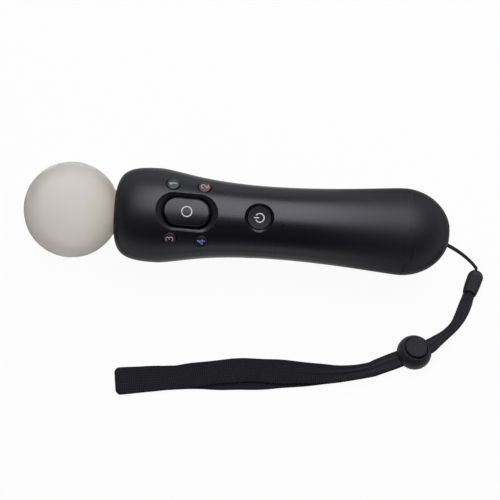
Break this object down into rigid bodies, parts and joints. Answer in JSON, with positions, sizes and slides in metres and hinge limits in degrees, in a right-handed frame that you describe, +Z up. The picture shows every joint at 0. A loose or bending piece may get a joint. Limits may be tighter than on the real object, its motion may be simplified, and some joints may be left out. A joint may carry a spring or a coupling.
{
  "type": "motion controller wand",
  "caption": "Motion controller wand with a soft light ball, waisted grip, front buttons, rear trigger, charging base and a wrist strap with a slide lock.",
  "frame": {"origin": "on the table plane, under the middle of the wand's bounding box without its strap", "axes": "+X from the ball to the base along the wand as it lies, +Z up out of the front buttons, the strap lies on the -Y side"},
  "size_m": [0.2196, 0.1074, 0.0453],
  "materials": {
    "ball_silicone": "matte translucent silicone",
    "white_plastic": "matte",
    "circuit_board": "green solder mask",
    "black_housing": "satin moulded plastic",
    "button_plastic": "smooth moulded plastic",
    "grey_plastic": "fine textured plastic",
    "dark_rubber": "matte rubber",
    "steel": "plated",
    "brass": "plated",
    "chip_plastic": "moulded epoxy",
    "cell_wrap": "shrink wrap",
    "ribbon_film": "polyimide film",
    "black_cord": "round braid",
    "black_webbing": "flat woven webbing"
  },
  "bodies": {
    "wand": {"light_sphere": "ball_silicone", "sphere_collar": "white_plastic", "led_board": "circuit_board", "rgb_led": "white_plastic", "front_shell": "black_housing", "rear_shell": "black_housing", "end_cap": "black_housing", "trigger_pin": "steel", "trigger_spring": "steel", "trigger_pad": "dark_rubber", "button_mat": "dark_rubber", "main_board": "circuit_board", "board_chips": "chip_plastic", "inner_frame": "grey_plastic", "battery": "cell_wrap", "rumble_motor": "steel", "connector_board": "circuit_board", "usb_socket": "steel", "ext_connector": "chip_plastic", "ext_contacts": "brass", "charge_contacts": "brass", "flex_ribbon": "ribbon_film", "side_switches": "grey_plastic", "case_screws": "steel", "board_screws": "steel", "strap_bar": "steel", "strap_cord": "black_cord", "strap_sleeve": "grey_plastic", "wrist_strap": "black_webbing"},
    "oval": {"oval_button": "button_plastic"},
    "action_1": {"action_button_1": "button_plastic"},
    "action_2": {"action_button_2": "button_plastic"},
    "action_3": {"action_button_3": "button_plastic"},
    "action_4": {"action_button_4": "button_plastic"},
    "home": {"home_button": "button_plastic"},
    "select": {"select_button": "button_plastic"},
    "start": {"start_button": "button_plastic"},
    "trigger_lever": {"trigger": "button_plastic"},
    "rumble": {"rumble_weight": "brass"},
    "strap_lock": {"lock_body": "grey_plastic", "lock_spring": "steel"},
    "lock_plunger": {"lock_button": "grey_plastic"}
  },
  "joints": [
    {"name": "oval_press", "type": "slide", "parent": "wand", "child": "oval", "axis": [-0.0148, 0, -0.9999], "range_m": [0, 0.001], "stiffness_N_per_m": 900, "springref_m": -0.0006, "deforming": ["button_mat"]},
    {"name": "action_press_1", "type": "slide", "parent": "wand", "child": "action_1", "axis": [-0.0134, -0.4226, -0.9062], "range_m": [0, 0.001], "stiffness_N_per_m": 700, "springref_m": -0.0006, "deforming": ["button_mat"]},
    {"name": "action_press_2", "type": "slide", "parent": "wand", "child": "action_2", "axis": [-0.0134, -0.4226, -0.9062], "range_m": [0, 0.001], "stiffness_N_per_m": 700, "springref_m": -0.0006, "deforming": ["button_mat"]},
    {"name": "action_press_3", "type": "slide", "parent": "wand", "child": "action_3", "axis": [-0.0134, 0.4226, -0.9062], "range_m": [0, 0.001], "stiffness_N_per_m": 700, "springref_m": -0.0006, "deforming": ["button_mat"]},
    {"name": "action_press_4", "type": "slide", "parent": "wand", "child": "action_4", "axis": [-0.0134, 0.4226, -0.9062], "range_m": [0, 0.001], "stiffness_N_per_m": 700, "springref_m": -0.0006, "deforming": ["button_mat"]},
    {"name": "home_press", "type": "slide", "parent": "wand", "child": "home", "axis": [-0.0148, 0, -0.9999], "range_m": [0, 0.001], "stiffness_N_per_m": 900, "springref_m": -0.0006, "deforming": ["button_mat"]},
    {"name": "select_press", "type": "slide", "parent": "wand", "child": "select", "axis": [0, -1, 0], "range_m": [0, 0.0005], "stiffness_N_per_m": 1200, "springref_m": -0.0004},
    {"name": "start_press", "type": "slide", "parent": "wand", "child": "start", "axis": [0, 1, 0], "range_m": [0, 0.0005], "stiffness_N_per_m": 1200, "springref_m": -0.0004},
    {"name": "trigger_pull", "type": "hinge", "parent": "wand", "child": "trigger_lever", "pos_m": [-0.03026, 0, 0.0068], "axis": [0, -1, 0], "range_deg": [0, 12], "stiffness_Nm_per_rad": 0.15, "springref_deg": -5.73, "deforming": ["trigger_spring"]},
    {"name": "rumble_spin", "type": "hinge", "parent": "wand", "child": "rumble", "pos_m": [0.08195, 0, 0.02044], "axis": [0.9999, 0, -0.0148], "continuous": true},
    {"name": "lock_slide", "type": "slide", "parent": "wand", "child": "strap_lock", "axis": [-0.91, -0.4147, 0], "range_m": [0, 0.01]},
    {"name": "lock_press", "type": "slide", "parent": "strap_lock", "child": "lock_plunger", "axis": [0.1553, -0.3409, -0.9272], "range_m": [0, 0.0012], "stiffness_N_per_m": 1200, "springref_m": -0.0008, "deforming": ["lock_spring"]}
  ]
}
